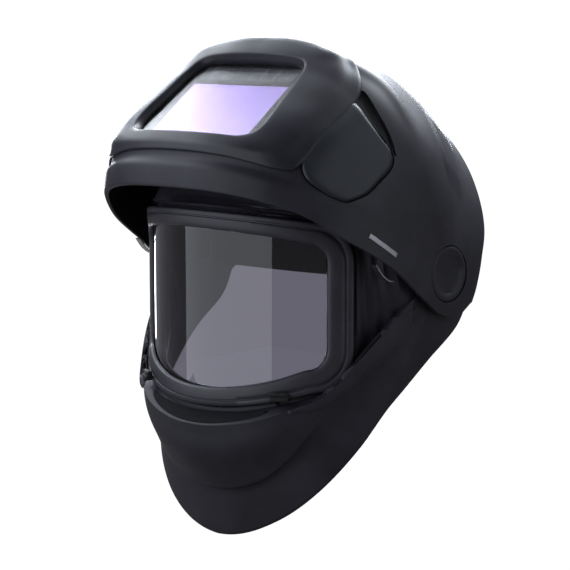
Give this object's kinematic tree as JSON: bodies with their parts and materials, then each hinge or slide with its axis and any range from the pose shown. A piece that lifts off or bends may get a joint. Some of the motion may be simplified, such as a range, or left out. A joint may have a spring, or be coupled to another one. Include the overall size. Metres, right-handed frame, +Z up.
{
  "type": "welding helmet",
  "caption": "Flip-up welding helmet: outer shield with auto-darkening filter raised over a face shell with a clear grinding visor, on a ratchet headgear.",
  "frame": {"origin": "midway between the two shell pivots, on their axis, at the wearer's temples", "axes": "+X to the wearer's left along the pivot axis, the face looks along -Y, +Z up"},
  "size_m": [0.2398, 0.2859, 0.3346],
  "materials": {
    "shell": "satin moulded",
    "inner_shell": "satin moulded",
    "dark_plastic": "matt",
    "headgear_plastic": "matt",
    "knob": "matt, ribbed",
    "tinted_window": "glossy dark green tint",
    "clear_plate": "clear polycarbonate",
    "filter_glass": "purple interference coating",
    "solar_cell": "dark glass",
    "sensor": "smoked",
    "rubber": "matt",
    "vent_mesh": "fine mesh",
    "steel": "bright",
    "foam": "padded knit"
  },
  "bodies": {
    "headgear": {"headband": "headgear_plastic", "sweatband": "foam", "crown_strap_front": "headgear_plastic", "crown_strap_rear": "headgear_plastic", "headgear_hub_left": "headgear_plastic", "headgear_hub_right": "headgear_plastic", "pivot_axle_left": "steel", "pivot_axle_right": "steel"},
    "rear_cradle": {"rear_band_left": "headgear_plastic", "rear_band_right": "headgear_plastic", "ratchet_housing": "headgear_plastic", "rear_pad": "foam"},
    "ratchet_knob": {"ratchet_knob": "knob"},
    "helmet": {"face_shell": "inner_shell", "clear_visor": "clear_plate", "visor_frame": "shell", "visor_gasket": "rubber", "chin_vent_insert": "vent_mesh", "friction_washer_left": "dark_plastic", "friction_washer_right": "dark_plastic", "detent_spring_left": "steel", "detent_spring_right": "steel"},
    "visor_latch_left": {"visor_latch_left": "dark_plastic"},
    "visor_latch_right": {"visor_latch_right": "dark_plastic"},
    "shield": {"flip_shell": "shell", "front_cover": "shell", "side_window_left": "tinted_window", "side_window_right": "tinted_window", "outer_cover_plate": "clear_plate", "filter_housing": "dark_plastic", "filter_glass": "filter_glass", "solar_cell": "solar_cell", "arc_sensor_left": "sensor", "arc_sensor_right": "sensor", "filter_retainer": "dark_plastic", "inner_cover_plate": "clear_plate", "pivot_cap_left": "shell", "pivot_cap_right": "shell"},
    "shade_knob": {"shade_knob": "knob"},
    "sensitivity_knob": {"sensitivity_knob": "knob"},
    "delay_knob": {"delay_knob": "knob"},
    "test_button": {"test_button": "rubber"},
    "battery_tray": {"battery_tray": "dark_plastic"}
  },
  "joints": [
    {"name": "helmet_lift", "type": "hinge", "parent": "headgear", "child": "helmet", "pos_m": [0, 0, 0], "axis": [-1, 0, 0], "range_deg": [0, 55]},
    {"name": "shield_flip", "type": "hinge", "parent": "helmet", "child": "shield", "pos_m": [0, 0, 0], "axis": [1, 0, 0], "range_deg": [0, 58]},
    {"name": "ratchet_turn", "type": "hinge", "parent": "rear_cradle", "child": "ratchet_knob", "pos_m": [0, 0.1283, -0.024], "axis": [0, 1, 0], "range_deg": [-180, 180]},
    {"name": "band_size", "type": "slide", "parent": "headgear", "child": "rear_cradle", "axis": [0, 1, 0], "range_m": [-0.005, 0.005]},
    {"name": "shade_turn", "type": "hinge", "parent": "shield", "child": "shade_knob", "pos_m": [-0.038, -0.0533, 0.11998], "axis": [0, 0.5934, -0.8049], "range_deg": [0, 270]},
    {"name": "sensitivity_turn", "type": "hinge", "parent": "shield", "child": "sensitivity_knob", "pos_m": [-0.01, -0.0533, 0.11998], "axis": [0, 0.5934, -0.8049], "range_deg": [0, 270]},
    {"name": "delay_turn", "type": "hinge", "parent": "shield", "child": "delay_knob", "pos_m": [0.018, -0.0533, 0.11998], "axis": [0, 0.5934, -0.8049], "range_deg": [0, 270]},
    {"name": "test_press", "type": "slide", "parent": "shield", "child": "test_button", "axis": [0, -0.5934, 0.8049], "range_m": [0, 0.0012], "stiffness_N_per_m": 300, "springref_m": -0.0003},
    {"name": "battery_out", "type": "slide", "parent": "shield", "child": "battery_tray", "axis": [0, -0.8049, -0.5934], "range_m": [0, 0.015]},
    {"name": "latch_left_slide", "type": "slide", "parent": "helmet", "child": "visor_latch_left", "axis": [1, 0, 0], "range_m": [0, 0.003]},
    {"name": "latch_right_slide", "type": "slide", "parent": "helmet", "child": "visor_latch_right", "axis": [-1, 0, 0], "range_m": [0, 0.003]}
  ],
  "couplings": [
    {"joint": "ratchet_turn", "follows": "band_size", "rad_per_m": -628}
  ]
}
